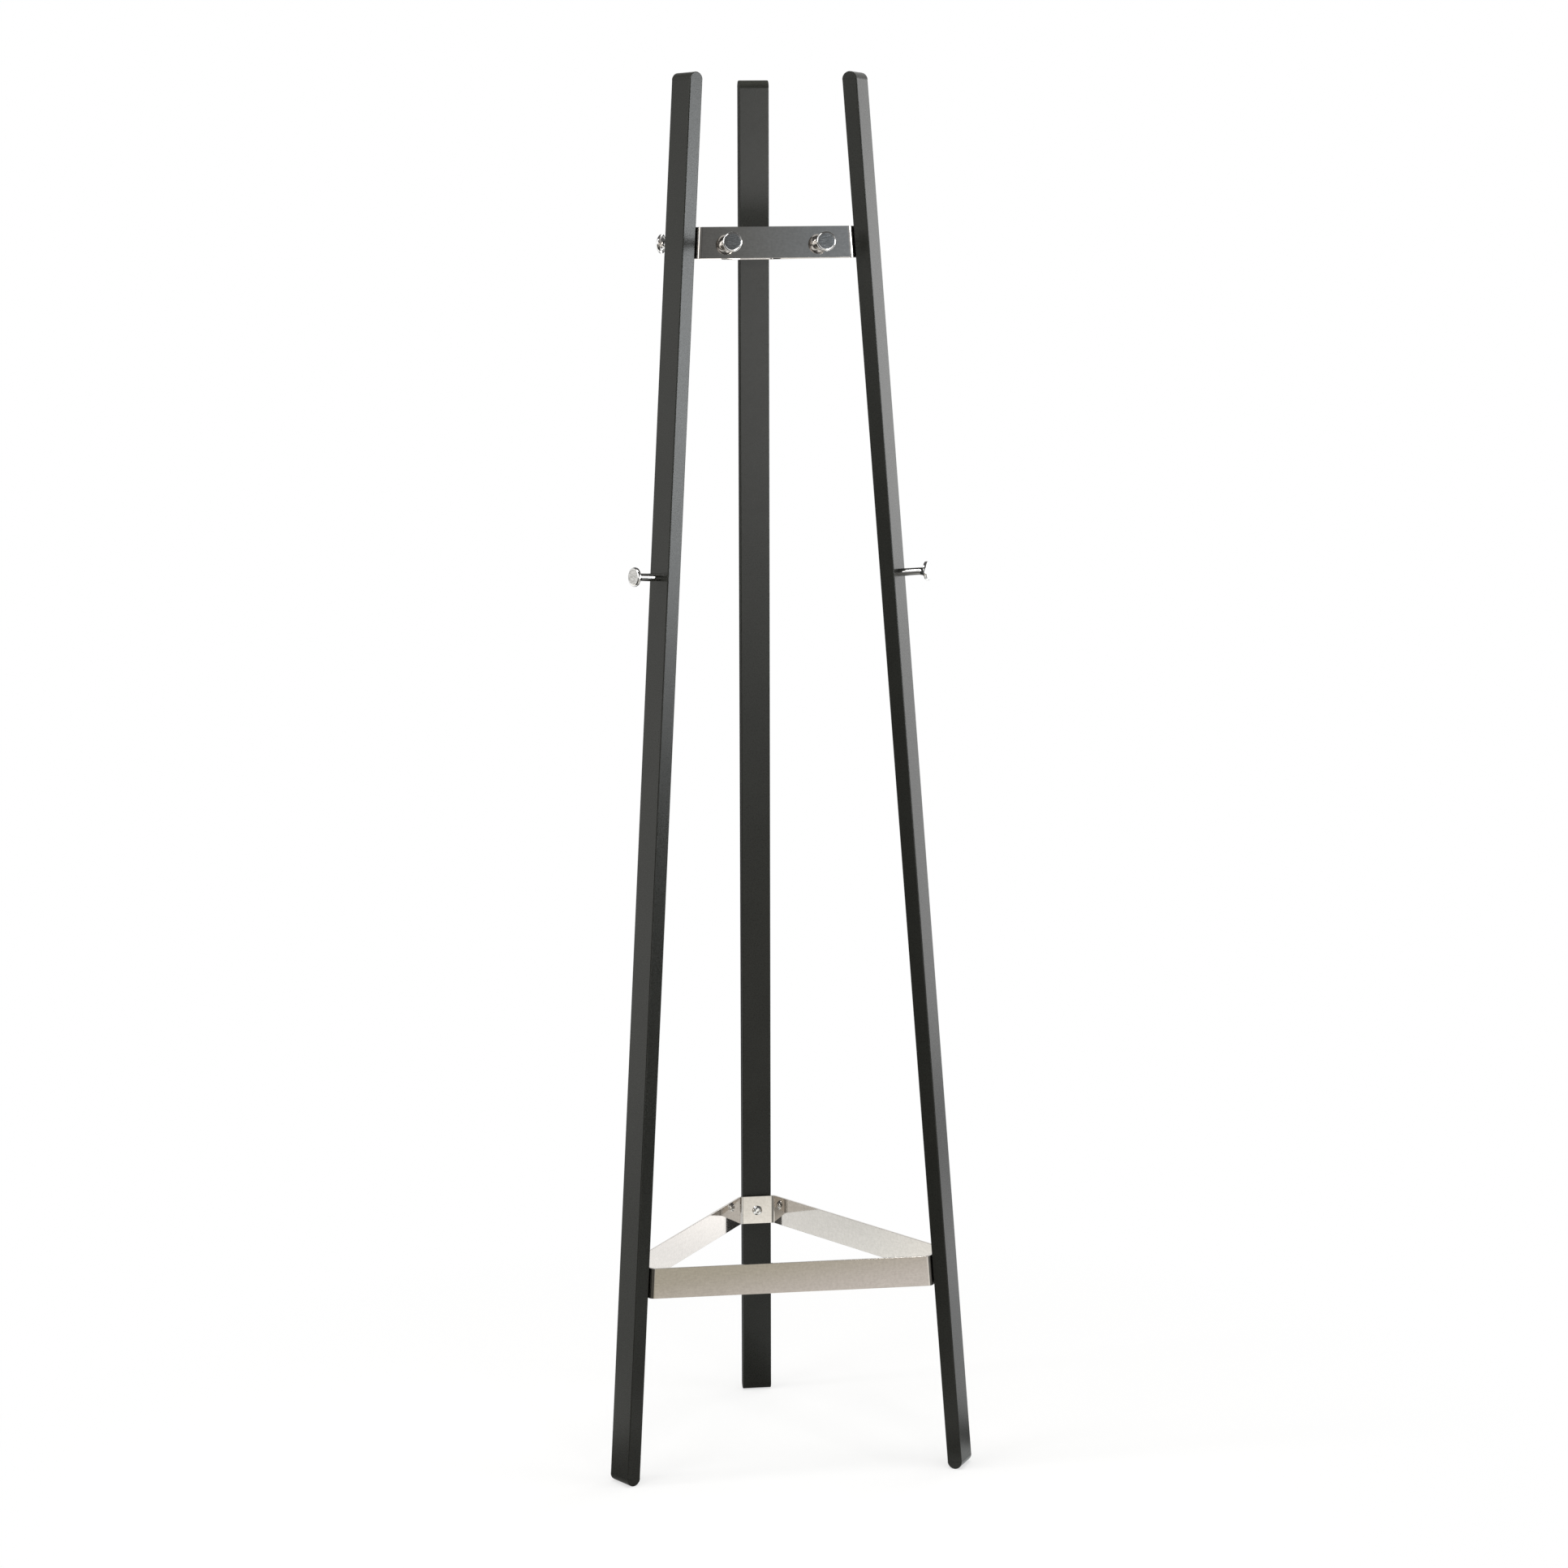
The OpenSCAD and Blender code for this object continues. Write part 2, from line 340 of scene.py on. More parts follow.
fastener = {
    "dull": (0.68, 0.675, 0.66),
    "bright": (0.78, 0.775, 0.76),
    "roughness": (0.06, 0.12),
    "specks": (700, 3.0),
    "bump": (0.08, 0.00003),
}


def makeFastener(name):
    mat, nodes, links, shader, coords = startMaterial(name)
    specks = addNoise(nodes, links, coords.outputs["Object"], *fastener["specks"]).outputs["Fac"]
    tint = addMix(nodes, links, addRange(nodes, links, specks, 0, 1), fastener["dull"],
                  fastener["bright"])
    links.new(tint, shader.inputs["Base Color"])
    links.new(addRange(nodes, links, specks, *fastener["roughness"]), shader.inputs["Roughness"])
    links.new(addBump(nodes, links, specks, *fastener["bump"]), shader.inputs["Normal"])
    shader.inputs["Metallic"].default_value = 1
    return mat


coatMat = makeCoat("anthraciteCoat")
plugMat = makeCoat("anthracitePlug", coat["plugShift"])
polishMat = makePolish("polishedStrip")
chromeMat = makeChrome("turnedKnob")
screwMat = makeFastener("brightScrew")
nutMat = makeFastener("rivetNut")
print("materials made")

faceWeight = 100      # how much a large face outweighs the rounded edges beside it in shading


def weighNormals(obj):
    weighted = obj.modifiers.new("weighted", "WEIGHTED_NORMAL")
    weighted.weight = faceWeight
    return weighted


def finishPiece(name, bm, mat, nodes, sharp):
    # sharp is in degrees: edges that turn more than that are shaded as edges
    bmesh.ops.recalc_face_normals(bm, faces=bm.faces)
    mesh = bpy.data.meshes.new(name)
    bm.to_mesh(mesh)
    bm.free()
    mesh.materials.append(mat)
    mesh.polygons.foreach_set("use_smooth", [True] * len(mesh.polygons))
    mesh.set_sharp_from_angle(angle=math.radians(sharp))
    obj = bpy.data.objects.new(name, mesh)
    scene.collection.objects.link(obj)
    weighNormals(obj).keep_sharp = True
    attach(obj, "root")
    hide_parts(*nodes)


def dressNode(node, mat):
    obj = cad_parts[node]
    obj.data.materials.clear()
    obj.data.materials.append(mat)


tube = {
    "corner": 1.5 * mm,
    "cornerSteps": 5,
    "sharp": 35,
}

plug = {
    "seam": 0.25 * mm,           # between a tube's end and its plug's rim
    "seamDepth": 0.4 * mm,
    "domeSteps": 14,
    "edge": 0.9 * mm,
    "edgeSteps": 4,
    "sharp": 35,
}

tubeLength = (stand["height"] - stand["legDepth"]) / math.cos(lean)


def makeLeg(side):
    azimuth = stand["legAzimuths"][side]
    bm = bmesh.new()
    bmesh.ops.create_cube(bm, size=1)
    bmesh.ops.translate(bm, verts=bm.verts, vec=(0, 0, 0.5))      # stands on its lower end
    bmesh.ops.scale(bm, verts=bm.verts, vec=(stand["legDepth"], stand["legWidth"], tubeLength))
    along = [e for e in bm.edges if abs(e.verts[0].co.z - e.verts[1].co.z) > tubeLength / 2]
    bmesh.ops.bevel(bm, geom=along, offset=tube["corner"], segments=tube["cornerSteps"], profile=0.5,
                    affect="EDGES", material=-1)
    bmesh.ops.transform(bm, matrix=onLeg(azimuth, stand["legDepth"] / 2), verts=bm.verts)
    finishPiece("legTube" + side.capitalize(), bm, coatMat, ["leg_" + side], tube["sharp"])


def makePlug(side, atTop):
    # half-round end: a semicircle is pushed across the leg's width, then its rims are rounded
    azimuth = stand["legAzimuths"][side]
    depth, width, seam = stand["legDepth"], stand["legWidth"], plug["seam"]
    bm = bmesh.new()
    start = bm.verts.new((-depth / 2, -width / 2, 0))
    bmesh.ops.spin(bm, geom=[start], cent=(0, -width / 2, 0), axis=(0, 1, 0), angle=math.pi,
                   steps=plug["domeSteps"], use_merge=False)
    for v in bm.verts:
        v.co.z = abs(v.co.z)      # the arch points up
    ends = [v for v in bm.verts if v.co.z < tiny]
    for v in ends:
        v.co.z = seam
    bm.edges.new(ends)
    outline = bmesh.ops.contextual_create(bm, geom=bm.edges[:])["faces"]
    pushed = bmesh.ops.extrude_face_region(bm, geom=outline)["geom"]
    bmesh.ops.translate(bm, verts=[g for g in pushed if isinstance(g, bmesh.types.BMVert)],
                        vec=(0, width, 0))
    rims = [e for e in bm.edges
            if abs(abs(e.verts[0].co.y) - width / 2) < tiny
            and abs(e.verts[0].co.y - e.verts[1].co.y) < tiny
            and any(v.co.z > seam + tiny for v in e.verts)]
    bmesh.ops.bevel(bm, geom=rims, offset=plug["edge"], segments=plug["edgeSteps"], profile=0.5,
                    affect="EDGES", material=-1, clamp_overlap=True)
    core = bmesh.ops.create_cube(bm, size=1)["verts"]      # shows as the bottom of the seam
    bmesh.ops.scale(bm, verts=core, vec=(depth - 2 * plug["seamDepth"],
                                         width - 2 * plug["seamDepth"], 2 * seam))
    bmesh.ops.translate(bm, verts=core, vec=(0, 0, seam))
    where = onLeg(azimuth, depth / 2)
    if atTop:
        where = where @ Matrix.Translation((0, 0, tubeLength))
    else:
        where = where @ Matrix.Rotation(math.pi, 4, "X")
    bmesh.ops.transform(bm, matrix=where, verts=bm.verts)
    kind = "cap" if atTop else "foot"
    finishPiece(kind + "Plug" + side.capitalize(), bm, plugMat, [kind + "_" + side],
                plug["sharp"])


for side in stand["legAzimuths"]:
    makeLeg(side)
    makePlug(side, True)
    makePlug(side, False)
print("legs and plugs made")


def turnAt(point):
    return math.atan2(point.y, point.x) % (2 * math.pi)


def ringCorners(z):
    # outer corners of the strip before bending, two to a leg, in the order of their turn
    corners = []
    for azimuth in stand["legAzimuths"].values():
        for s in (-1, 1):
            turn = Matrix.Rotation(math.radians(azimuth), 3, "Z")
            corners.append(turn @ Vector((plateRadius(z), s * cornerReach, 0)) + Vector((0, 0, z)))
    return sorted(corners, key=turnAt)


def makeRing(name, node, height):
    lowCorners = ringCorners(height - strip["height"] / 2)
    highCorners = ringCorners(height + strip["height"] / 2)
    bm = bmesh.new()
    ring = bmesh.ops.create_circle(bm, segments=len(lowCorners), radius=1)["verts"]
    ring.sort(key=lambda v: turnAt(v.co))
    for v, corner in zip(ring, lowCorners):
        v.co = corner
    raised = bmesh.ops.extrude_edge_only(bm, edges=bm.edges[:])["geom"]
    for v in raised:
        if isinstance(v, bmesh.types.BMVert):
            nearest = min(lowCorners, key=lambda corner: (corner - v.co).length)
            v.co = highCorners[lowCorners.index(nearest)]
    standing = [e for e in bm.edges if abs(e.verts[0].co.z - e.verts[1].co.z) > strip["height"] / 2]
    bmesh.ops.bevel(bm, geom=standing, offset=bendBack, segments=strip["bendSteps"], profile=0.5,
                    affect="EDGES", material=-1)
    bmesh.ops.recalc_face_normals(bm, faces=bm.faces)
    # the band is still open, so the largest face tells which way is out
    centre = Vector((0, 0, height))
    face = max(bm.faces, key=lambda f: f.calc_area())
    if face.normal.dot(face.calc_center_median() - centre) < 0:
        bmesh.ops.reverse_faces(bm, faces=bm.faces)
    mesh = bpy.data.meshes.new(name)
    bm.to_mesh(mesh)
    bm.free()
    mesh.materials.append(polishMat)
    mesh.polygons.foreach_set("use_smooth", [True] * len(mesh.polygons))
    obj = bpy.data.objects.new(name, mesh)
    scene.collection.objects.link(obj)
    wall = obj.modifiers.new("wall", "SOLIDIFY")
    wall.thickness = strip["thickness"]
    wall.offset = -1
    wall.use_even_offset = True
    edge = obj.modifiers.new("edge", "BEVEL")
    edge.width = strip["edge"]
    edge.segments = strip["edgeSteps"]
    edge.limit_method = "ANGLE"
    edge.angle_limit = math.radians(strip["edgeAngle"])
    weighNormals(obj)
    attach(obj, "root")
    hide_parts(node)


makeRing("upperStripRing", "upper_ring", stand["upperRing"])
makeRing("lowerStripRing", "lower_ring", stand["lowerRing"])
print("rings made")

knob = {
    "length": 40 * mm,
    "shaft": 5 * mm,             # radii
    "head": 12.5 * mm,
    "inset": 6 * mm,             # radius of a ring of points on the flat front
    "flare": 8 * mm,             # lengths along the axis
    "rim": 1 * mm,
    "round": 2.5 * mm,
    "flareSteps": 14,
    "roundSteps": 12,
    "turnSteps": 72,
    "sharp": 50,
    "hookOffset": 60 * mm,       # either way from the middle of a long side
    "hookDrop": 1 * mm,          # below the strip's middle line
    "pegSeat": 0.5 * mm,         # flange of the peg's rivet nut
}


def spinProfile(profile, steps):
    # a profile of (radius, distance) pairs turned about the X axis
    bm = bmesh.new()
    verts = [bm.verts.new((x, r, 0)) for r, x in profile]
    edges = [bm.edges.new(pair) for pair in zip(verts, verts[1:])]
    bmesh.ops.spin(bm, geom=verts + edges, cent=(0, 0, 0), axis=(1, 0, 0), angle=2 * math.pi,
                   steps=steps, use_merge=True)
    bmesh.ops.remove_doubles(bm, verts=bm.verts, dist=tiny)
    return bm


def knobProfile():
    front = knob["length"]
    rimStart = front - knob["round"] - knob["rim"]
    flareStart = rimStart - knob["flare"]
    reach = knob["head"] - knob["shaft"]
    bow = (reach ** 2 + knob["flare"] ** 2) / (2 * reach)
    sweep = math.asin(knob["flare"] / bow)
    profile = [(0, 0), (knob["shaft"], 0), (knob["shaft"], flareStart / 2)]
    for i in range(knob["flareSteps"] + 1):
        a = sweep * i / knob["flareSteps"]
        profile.append((knob["shaft"] + bow * (1 - math.cos(a)), flareStart + bow * math.sin(a)))
    profile.append((knob["head"], rimStart + knob["rim"]))
    for i in range(1, knob["roundSteps"] + 1):
        a = math.pi / 2 * i / knob["roundSteps"]
        profile.append((knob["head"] - knob["round"] * (1 - math.cos(a)),
                        rimStart + knob["rim"] + knob["round"] * math.sin(a)))
    profile += [(knob["inset"], front), (0, front)]
    return profile


def makeKnob(name, node, where):
    bm = spinProfile(knobProfile(), knob["turnSteps"])
    brushed = bm.verts.layers.float.new("brushed")
    for v in bm.verts:
        v[brushed] = 1.0 if v.co.x > knob["length"] - tiny else 0.0
    bmesh.ops.transform(bm, matrix=where, verts=bm.verts)
    finishPiece(name, bm, chromeMat, [node], knob["sharp"])


# the long side of the ring, and which way along it
hookPlaces = {
    "hook_front_left": ("front", -1), "hook_front_right": ("front", 1),
    "hook_right_front": ("right", -1), "hook_right_back": ("right", 1),
    "hook_left_back": ("left", -1), "hook_left_front": ("left", 1),
}
for node, (side, s) in hookPlaces.items():
    where = onSide(stand["sideAzimuths"][side], stand["upperRing"])
    where = where @ Matrix.Translation((0, s * knob["hookOffset"], -knob["hookDrop"]))
    makeKnob(node.replace("hook", "knob"), node, where)
for side, azimuth in stand["legAzimuths"].items():
    out = stand["legDepth"] / 2 + knob["pegSeat"]
    where = onLeg(azimuth, stand["pegs"]) @ Matrix.Translation((out, 0, 0))
    makeKnob("knob_leg_" + side, "peg_" + side, where)
print("knobs made")

# head and flat are radii, rise is the dome's height, and socket is across its flats
screw = {
    "ring": {"head": 7 * mm, "rise": 4 * mm, "socket": 5 * mm, "flat": 4.2 * mm},
    "hook": {"head": 5.25 * mm, "rise": 3.2 * mm, "socket": 4 * mm, "flat": 3.2 * mm},
    "mouth": 0.2 * mm,       # how far the socket's edge lies under the flat
    "depth": 0.62,           # of the socket, as a share of the head's rise
    "domeSteps": 12,
    "turnSteps": 48,
    "sharp": 30,
}


def addScrewHead(bm, size, where):
    # domed head on the -X side of its seat, with a hexagon socket let into the top
    rise, radius, flat = size["rise"], size["head"], size["flat"]
    ball = (radius ** 2 + rise ** 2) / (2 * rise)
    widest = math.asin(radius / ball)
    narrowest = math.asin(flat / ball)
    profile = []
    for i in range(screw["domeSteps"] + 1):
        a = widest + (narrowest - widest) * i / screw["domeSteps"]
        profile.append((ball * math.sin(a), -(ball * math.cos(a) - (ball - rise))))
    part = spinProfile(profile, screw["turnSteps"])
    top = min(v.co.x for v in part.verts)
    mouth = [e for e in part.edges if e.is_boundary and all(v.co.x < top + tiny for v in e.verts)]
    turned = bmesh.ops.extrude_edge_only(part, edges=mouth)["geom"]
    hexRing = [g for g in turned if isinstance(g, bmesh.types.BMVert)]
    halfSocket = size["socket"] / 2
    for v in hexRing:
        angle = math.atan2(v.co.z, v.co.y)
        wide = halfSocket / math.cos(angle % sixthTurn - sixthTurn / 2)
        v.co = (top + screw["mouth"], wide * math.cos(angle), wide * math.sin(angle))
    floorEdges = [e for e in part.edges if e.is_boundary and all(v in hexRing for v in e.verts)]
    sunk = bmesh.ops.extrude_edge_only(part, edges=floorEdges)["geom"]
    deep = [g for g in sunk if isinstance(g, bmesh.types.BMVert)]
    bmesh.ops.translate(part, verts=deep, vec=(screw["depth"] * rise, 0, 0))
    bottom = [e for e in part.edges if e.is_boundary and all(v in deep for v in e.verts)]
    bmesh.ops.contextual_create(part, geom=bottom)
    under = [e for e in part.edges if e.is_boundary]
    bmesh.ops.contextual_create(part, geom=under)
    bmesh.ops.recalc_face_normals(part, faces=part.faces)
    bmesh.ops.transform(part, matrix=where, verts=part.verts)
    mesh = bpy.data.meshes.new("head")
    part.to_mesh(mesh)
    part.free()
    bm.from_mesh(mesh)
    bpy.data.meshes.remove(mesh)


def makeRingScrews(name, node, height):
    bm = bmesh.new()
    for azimuth in stand["legAzimuths"].values():
        where = onLeg(azimuth, height) @ Matrix.Translation((-seat - strip["thickness"], 0, 0))
        addScrewHead(bm, screw["ring"], where)
    finishPiece(name, bm, screwMat, [node], screw["sharp"])


def makeHookScrews():
    bm = bmesh.new()
    for side, s in hookPlaces.values():
        where = onSide(stand["sideAzimuths"][side], stand["upperRing"])
        inside = (-strip["thickness"], s * knob["hookOffset"], -knob["hookDrop"])
        where = where @ Matrix.Translation(inside)
        addScrewHead(bm, screw["hook"], where)
    finishPiece("hookScrewHeads", bm, screwMat, ["hook_screws"], screw["sharp"])


makeRingScrews("upperScrewHeads", "upper_ring_screws", stand["upperRing"])
makeRingScrews("lowerScrewHeads", "lower_ring_screws", stand["lowerRing"])
makeHookScrews()
dressNode("ring_rivet_nuts", nutMat)
dressNode("peg_rivet_nuts", nutMat)
print("screws and nuts made")

studio = {
    "floorSize": 60,
    "floorCells": 4,
    "floorDrop": 0.3 * mm,       # keeps the floor clear of the feet
    "floorTint": (0.93, 0.93, 0.92),
    "shadowShare": 0.35,         # how much of the lit floor, with its shadows, the camera sees
    "shadowNear": 0.30,
    "shadowFar": 1.1,
    "slant": 0.55,               # mirroredFloor runs along Y + slant * X
    "mirrorFrom": -4.0,
    "mirrorTo": 4.0,
    "glow": 1.5,                 # strength that the mirrored tints are a share of
    "closeBy": 0.62,             # from closeBy to farOff one round of shares gives way to the other
    "farOff": 0.85,
    "wallFrom": 0.12,            # up to here the room is roomRound, as the sine of the height
    "wallTo": 0.20,              # from here it is roomHigh
    "topFrom": 0.38,             # and so on to roomTop
    "topTo": 0.55,
}

# what polished metal sees of the floor, from far in front to far behind
mirroredFloor = [
    (-4.0, (0.66, 0.66, 0.67)),
    (-3.0, (0.58, 0.58, 0.58)),
    (-2.2, (0.40, 0.39, 0.36)),
    (-1.75, (0.405, 0.388, 0.325)),
    (-1.5, (0.41, 0.392, 0.33)),
    (-1.24, (0.575, 0.55, 0.53)),
    (-0.8, (0.72, 0.71, 0.68)),
    (-0.45, (0.72, 0.72, 0.68)),
    (-0.36, (0.80, 0.80, 0.76)),
    (-0.26, (0.95, 0.95, 0.91)),
    (0.0, (0.80, 0.825, 0.82)),
    (0.45, (0.90, 0.91, 0.91)),
    (0.88, (0.86, 0.875, 0.885)),
    (1.35, (1.2, 1.2, 1.2)),
    (1.75, (0.95, 0.95, 0.95)),
    (2.3, (0.62, 0.63, 0.64)),
    (3.5, (0.27, 0.27, 0.27)),
]
# share of that light which stays close by and farther off, by degrees from +X towards +Y
closeRound = [(-180, 1.0), (-176, 0.33), (-158, 0.17), (-140, 0.42), (-98, 0.42), (-89, 1.0),
              (-72, 1.0), (-66, 0.4), (-58, 0.12), (-51, 0.15), (-44, 0.9), (-16, 1.0),
              (-8, 0.2), (-2, 0.2), (6, 0.8), (14, 1.0), (70, 1.0), (84, 0.15), (110, 0.15),
              (125, 1.0), (180, 1.0)]
farRound = [(-180, 0.15), (-172, 0.04), (-160, 0.04), (-145, 0.2), (-130, 0.15), (-120, 0.1),
            (-112, 1.0), (-44, 1.0), (-37, 0.08), (-26, 0.15), (0, 0.6), (15, 1.0), (72, 1.0),
            (85, 0.12), (110, 0.12), (125, 1.0), (150, 0.85), (173, 0.85), (180, 0.15)]
# the room's brightness near the horizon: degrees from +X towards +Y, and a tint
roomRound = [
    (-180, (0.55, 0.55, 0.54)),
    (-143, (0.40, 0.40, 0.39)),
    (-115, (0.20, 0.205, 0.205)),
    (-90, (0.10, 0.10, 0.10)),
    (-84.2, (0.08, 0.08, 0.08)),
    (-83.3, (0.10, 0.10, 0.096)),
    (-82.6, (0.295, 0.315, 0.32)),
    (-81.9, (0.205, 0.22, 0.235)),
    (-81.2, (0.36, 0.41, 0.46)),
    (-79, (0.38, 0.42, 0.46)),
    (-60, (0.40, 0.41, 0.42)),
    (-23, (0.60, 0.61, 0.62)),
    (15, (0.80, 0.80, 0.80)),
    (40, (0.90, 0.90, 0.90)),
    (62, (0.20, 0.20, 0.20)),
    (85, (0.08, 0.08, 0.08)),
    (110, (0.10, 0.10, 0.10)),
    (135, (0.50, 0.50, 0.49)),
    (160, (0.60, 0.60, 0.59)),
    (180, (0.55, 0.55, 0.54)),
]
# and the share of white some way above the horizon
roomHigh = [(-180, 0.45), (-160, 0.7), (-138, 0.95), (-115, 0.3), (-84, 0.15), (-40, 0.4),
            (20, 0.6), (60, 0.8), (78, 1.0), (100, 1.0), (125, 0.7), (180, 0.45)]
roomTop = (0.12, 0.12, 0.12)


def addRamp(nodes, links, value, stops, low, high):
    # a colour ramp whose stops are given in the value's own units
    ranged = addRange(nodes, links, value, 0, 1, low, high)
    ramp = nodes.new("ShaderNodeValToRGB")
    elements = ramp.color_ramp.elements
    while len(elements) < len(stops):
        elements.new(0.5)
    for element, (at, tint) in zip(elements, stops):
        element.position = (at - low) / (high - low)
        element.color = (*tint, 1)
    links.new(ranged, ramp.inputs[0])
    return ramp.outputs["Color"]


def addRound(nodes, links, azimuth, stops):
    # a ramp all the way round, with its stops in degrees
    return addRamp(nodes, links, azimuth, stops, -180, 180)


def addAzimuth(nodes, links, vector):
    split = nodes.new("ShaderNodeSeparateXYZ")
    links.new(vector, split.inputs[0])
    azimuth = nodes.new("ShaderNodeMath")
    azimuth.operation = "ARCTAN2"
    links.new(split.outputs["Y"], azimuth.inputs[0])
    links.new(split.outputs["X"], azimuth.inputs[1])
    turned = nodes.new("ShaderNodeMath")
    turned.operation = "DEGREES"
    links.new(azimuth.outputs[0], turned.inputs[0])
    return turned.outputs[0], split.outputs["Z"]


def greys(shares):
    return [(at, (share, share, share)) for at, share in shares]


def addBlend(nodes, links, factor, first, second):
    blend = nodes.new("ShaderNodeMixShader")
    links.new(factor, blend.inputs[0])
    links.new(first, blend.inputs[1])
    links.new(second, blend.inputs[2])
    return blend.outputs[0]


def addFloorSeen(nodes, links, distance, lit):
    # to the eye: white, with a little of the lit floor's shadows around the feet
    white = nodes.new("ShaderNodeEmission")
    share = addRange(nodes, links, distance, studio["shadowShare"], 0, studio["shadowNear"],
                     studio["shadowFar"])
    return addBlend(nodes, links, share, white.outputs[0], lit)


def addFloorMirrored(nodes, links, spot, distance):
    # in polished metal: tints along a slanted line, held back by direction
    along = nodes.new("ShaderNodeVectorMath")
    along.operation = "DOT_PRODUCT"
    along.inputs[1].default_value = (studio["slant"], 1, 0)
    links.new(spot, along.inputs[0])
    tints = addRamp(nodes, links, along.outputs["Value"], mirroredFloor, studio["mirrorFrom"],
                    studio["mirrorTo"])
    azimuth, _ = addAzimuth(nodes, links, spot)
    far = addRange(nodes, links, distance, 0, 1, studio["closeBy"], studio["farOff"])
    stays = addMix(nodes, links, far, addRound(nodes, links, azimuth, greys(closeRound)),
                   addRound(nodes, links, azimuth, greys(farRound)))
    product = nodes.new("ShaderNodeVectorMath")
    product.operation = "MULTIPLY"
    links.new(tints, product.inputs[0])
    links.new(stays, product.inputs[1])
    glow = nodes.new("ShaderNodeEmission")
    glow.inputs["Strength"].default_value = studio["glow"]
    links.new(product.outputs[0], glow.inputs["Color"])
    return glow.outputs[0]


def makeFloorMaterial(name):
    mat = bpy.data.materials.new(name)
    mat.use_nodes = True
    nodes, links = mat.node_tree.nodes, mat.node_tree.links
    nodes.clear()
    out = nodes.new("ShaderNodeOutputMaterial")
    lit = nodes.new("ShaderNodeBsdfDiffuse")
    lit.inputs["Color"].default_value = (*studio["floorTint"], 1)
    coords = nodes.new("ShaderNodeTexCoord")
    distance = nodes.new("ShaderNodeVectorMath")
    distance.operation = "LENGTH"
    links.new(coords.outputs["Object"], distance.inputs[0])
    seen = addFloorSeen(nodes, links, distance.outputs["Value"], lit.outputs[0])
    mirrored = addFloorMirrored(nodes, links, coords.outputs["Object"], distance.outputs["Value"])
    path = nodes.new("ShaderNodeLightPath")
    unseen = addBlend(nodes, links, path.outputs["Is Glossy Ray"], lit.outputs[0], mirrored)
    surface = addBlend(nodes, links, path.outputs["Is Camera Ray"], unseen, seen)
    links.new(surface, out.inputs["Surface"])
    return mat


def makeFloor():
    bm = bmesh.new()
    bmesh.ops.create_grid(bm, x_segments=studio["floorCells"], y_segments=studio["floorCells"],
                          size=studio["floorSize"] / 2)
    bmesh.ops.translate(bm, verts=bm.verts, vec=(0, 0, -studio["floorDrop"]))
    mesh = bpy.data.meshes.new("floor")
    bm.to_mesh(mesh)
    bm.free()
    obj = bpy.data.objects.new("floor", mesh)
    scene.collection.objects.link(obj)
    mesh.materials.append(makeFloorMaterial("paleFloor"))


def makeRoom():
    world = bpy.data.worlds.new("studio")
    scene.world = world
    world.use_nodes = True
    nodes, links = world.node_tree.nodes, world.node_tree.links
    nodes.clear()
    out = nodes.new("ShaderNodeOutputWorld")
    coords = nodes.new("ShaderNodeTexCoord")
    azimuth, height = addAzimuth(nodes, links, coords.outputs["Generated"])
    raised = addRange(nodes, links, height, 0, 1, studio["wallFrom"], studio["wallTo"])
    walls = addMix(nodes, links, raised, addRound(nodes, links, azimuth, roomRound),
                   addRound(nodes, links, azimuth, greys(roomHigh)))
    overTop = addRange(nodes, links, height, 0, 1, studio["topFrom"], studio["topTo"])
    room = nodes.new("ShaderNodeBackground")
    links.new(addMix(nodes, links, overTop, walls, roomTop), room.inputs["Color"])
    white = nodes.new("ShaderNodeBackground")
    white.inputs["Color"].default_value = (1, 1, 1, 1)
    path = nodes.new("ShaderNodeLightPath")
    surface = addBlend(nodes, links, path.outputs["Is Camera Ray"], room.outputs[0], white.outputs[0])
    links.new(surface, out.inputs["Surface"])


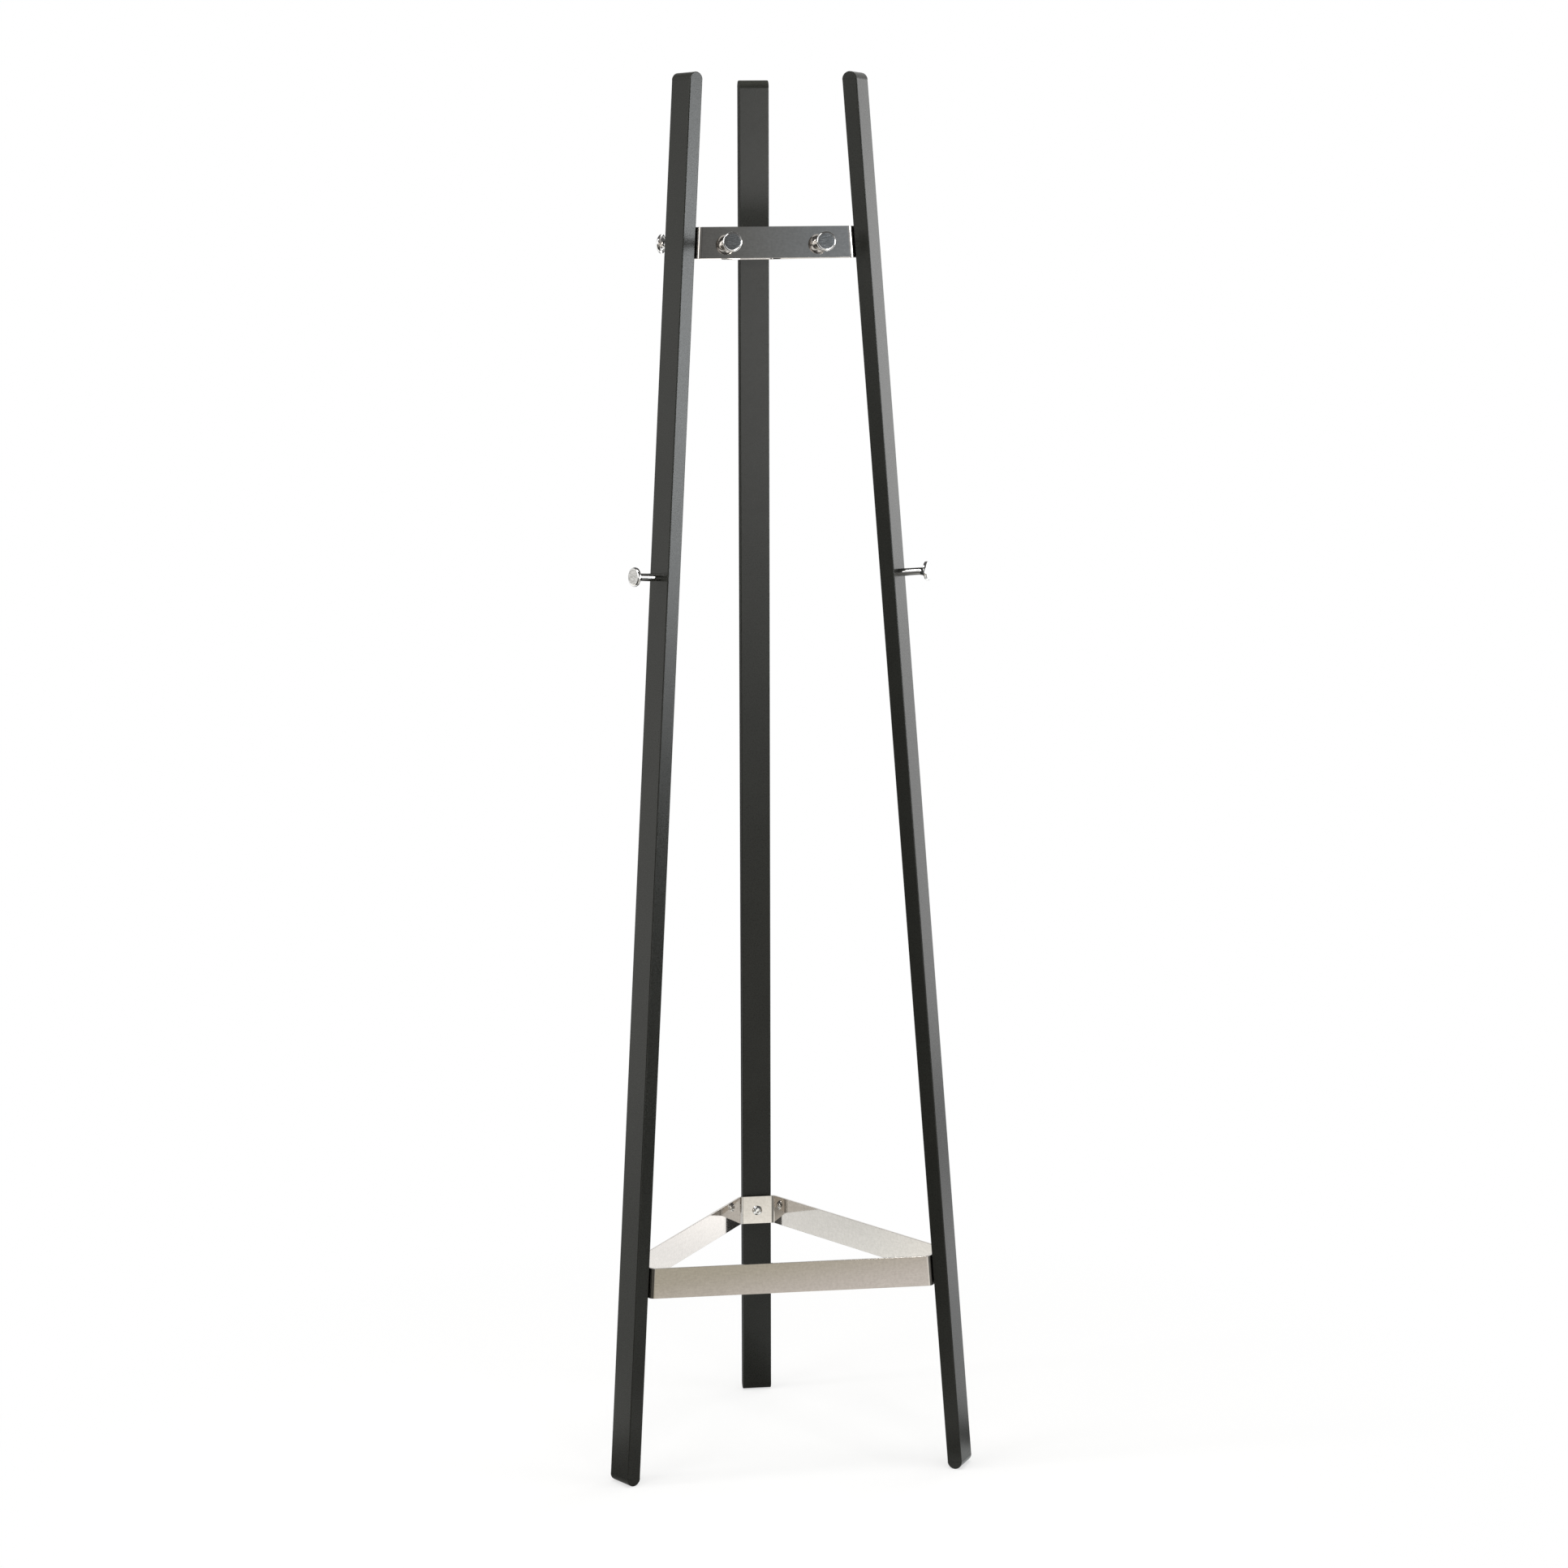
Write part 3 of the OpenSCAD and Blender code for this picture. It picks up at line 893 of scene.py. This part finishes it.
# size is width and height, power is in watts, and spread is in degrees where a lamp is narrowed;
# only the mirrored ones show in polished metal
lamps = {
    "window": {"at": (2.72, -1.22, 1.45), "aim": (0, 0, 1.45), "size": (1.5, 1.35), "power": 6.8,
               "spread": 45, "tint": (0.94, 0.975, 1.0), "mirrored": True},
    "rightBack": {"at": (2.56, 1.93, 1.2), "aim": (0, 0, 1.2), "size": (1.6, 2.38), "power": 19,
                  "tint": (1.0, 1.0, 1.0), "mirrored": True},
    "rightBackHigh": {"at": (2.40, 1.80, 1.5), "aim": (0, 0, 1.5), "size": (0.9, 0.9), "power": 1.2,
                      "tint": (1.0, 1.0, 1.0), "mirrored": True},
    "leftBack": {"at": (-2.95, 1.25, 1.05), "aim": (0, 0, 1.05), "size": (1.6, 2.3), "power": 8,
                 "tint": (1.0, 0.995, 0.97), "mirrored": True},
    "leftHigh": {"at": (-2.40, -1.80, 1.95), "aim": (0, 0, 1.7), "size": (0.3, 1.2), "power": 4.5,
                 "tint": (1.0, 1.0, 0.99), "mirrored": True},
    "leftSide": {"at": (-2.98, -0.31, 2.6), "aim": (0, 0, 1.6), "size": (0.5, 2.8), "power": 28,
                 "tint": (1.0, 1.0, 1.0), "mirrored": True},
    "leftTop": {"at": (-1.2, -0.9, 3.4), "aim": (0, 0, 1.6), "size": (0.9, 0.9), "power": 12,
                "tint": (1.0, 1.0, 1.0), "mirrored": True},
    "lowFront": {"at": (1.15, -5.2, 0.8), "aim": (0, 0, 1.2), "size": (0.5, 1.5), "power": 42.5,
                 "tint": (1.0, 0.995, 0.98), "mirrored": True},
    "overhead": {"at": (0.2, -0.4, 3.6), "aim": (0, 0, 0), "size": (2.2, 2.2), "power": 96,
                 "tint": (1.0, 0.995, 0.98), "mirrored": False},
}


def makeLamps():
    for name, lamp in lamps.items():
        data = bpy.data.lights.new(name, "AREA")
        data.shape = "RECTANGLE"
        data.size, data.size_y = lamp["size"]
        data.energy = lamp["power"]
        data.color = lamp["tint"]
        if "spread" in lamp:
            data.spread = math.radians(lamp["spread"])
        obj = bpy.data.objects.new(name, data)
        obj.location = lamp["at"]
        toward = Vector(lamp["aim"]) - Vector(lamp["at"])
        obj.rotation_euler = toward.to_track_quat("-Z", "Y").to_euler()
        obj.visible_camera = False
        obj.visible_glossy = lamp["mirrored"]
        scene.collection.objects.link(obj)


makeFloor()
makeRoom()
makeLamps()
scene.view_settings.view_transform = "Standard"
print("studio made")
